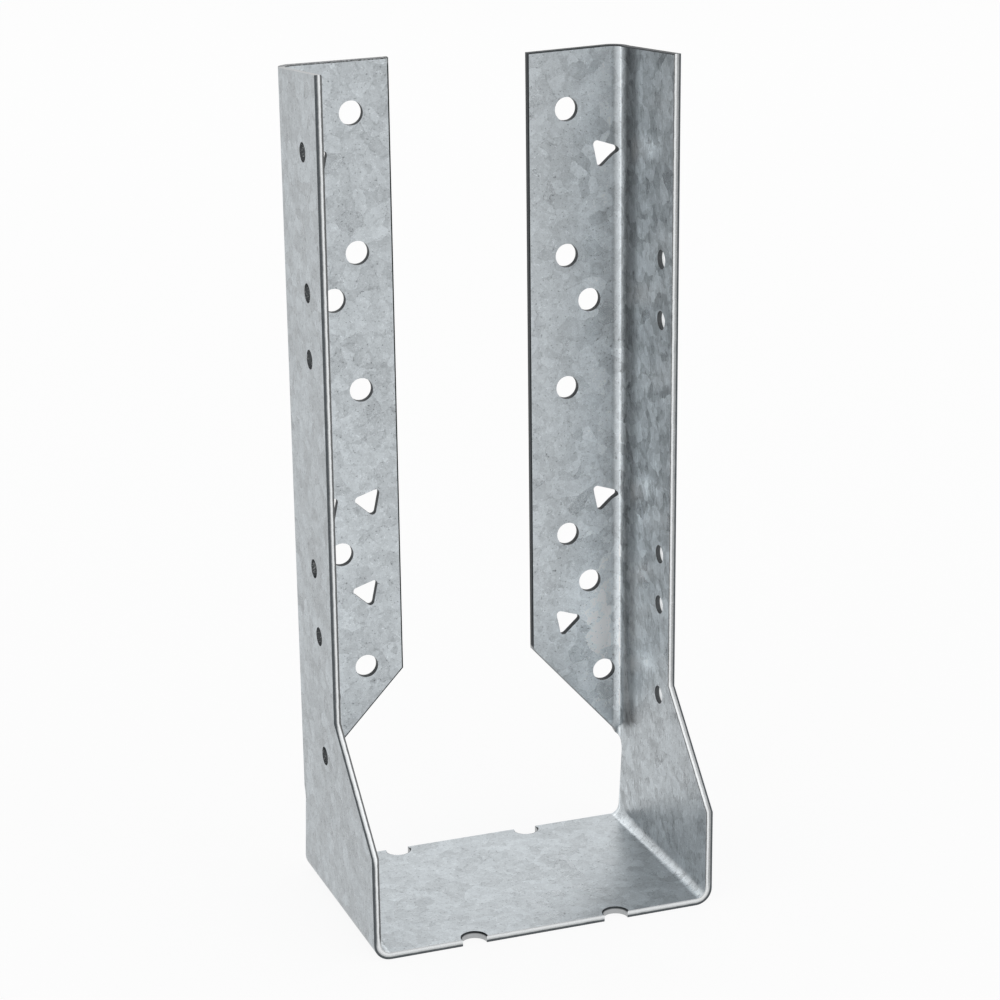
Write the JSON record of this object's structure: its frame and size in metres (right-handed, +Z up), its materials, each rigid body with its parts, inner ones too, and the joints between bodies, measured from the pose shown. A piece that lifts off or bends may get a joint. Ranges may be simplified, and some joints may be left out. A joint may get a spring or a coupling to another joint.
{
  "type": "joist hanger",
  "caption": "Face-mount joist hanger with concealed flanges: one folded sheet of galvanised steel that holds a joist's end against the face of a header.",
  "frame": {"origin": "bottom centre of the bounding box: under the middle of the seat, halfway between the header face and the seat's front edge", "axes": "+Z up along the side plates, +Y towards the header, X across the joist; the joist comes in from -Y"},
  "size_m": [0.0944, 0.0636, 0.2218],
  "materials": {
    "galvanised_sheet": "heavy hot-dip zinc coating, satin, with fine spangle"
  },
  "bodies": {
    "root": {"hanger": "galvanised_sheet"}
  },
  "joints": []
}
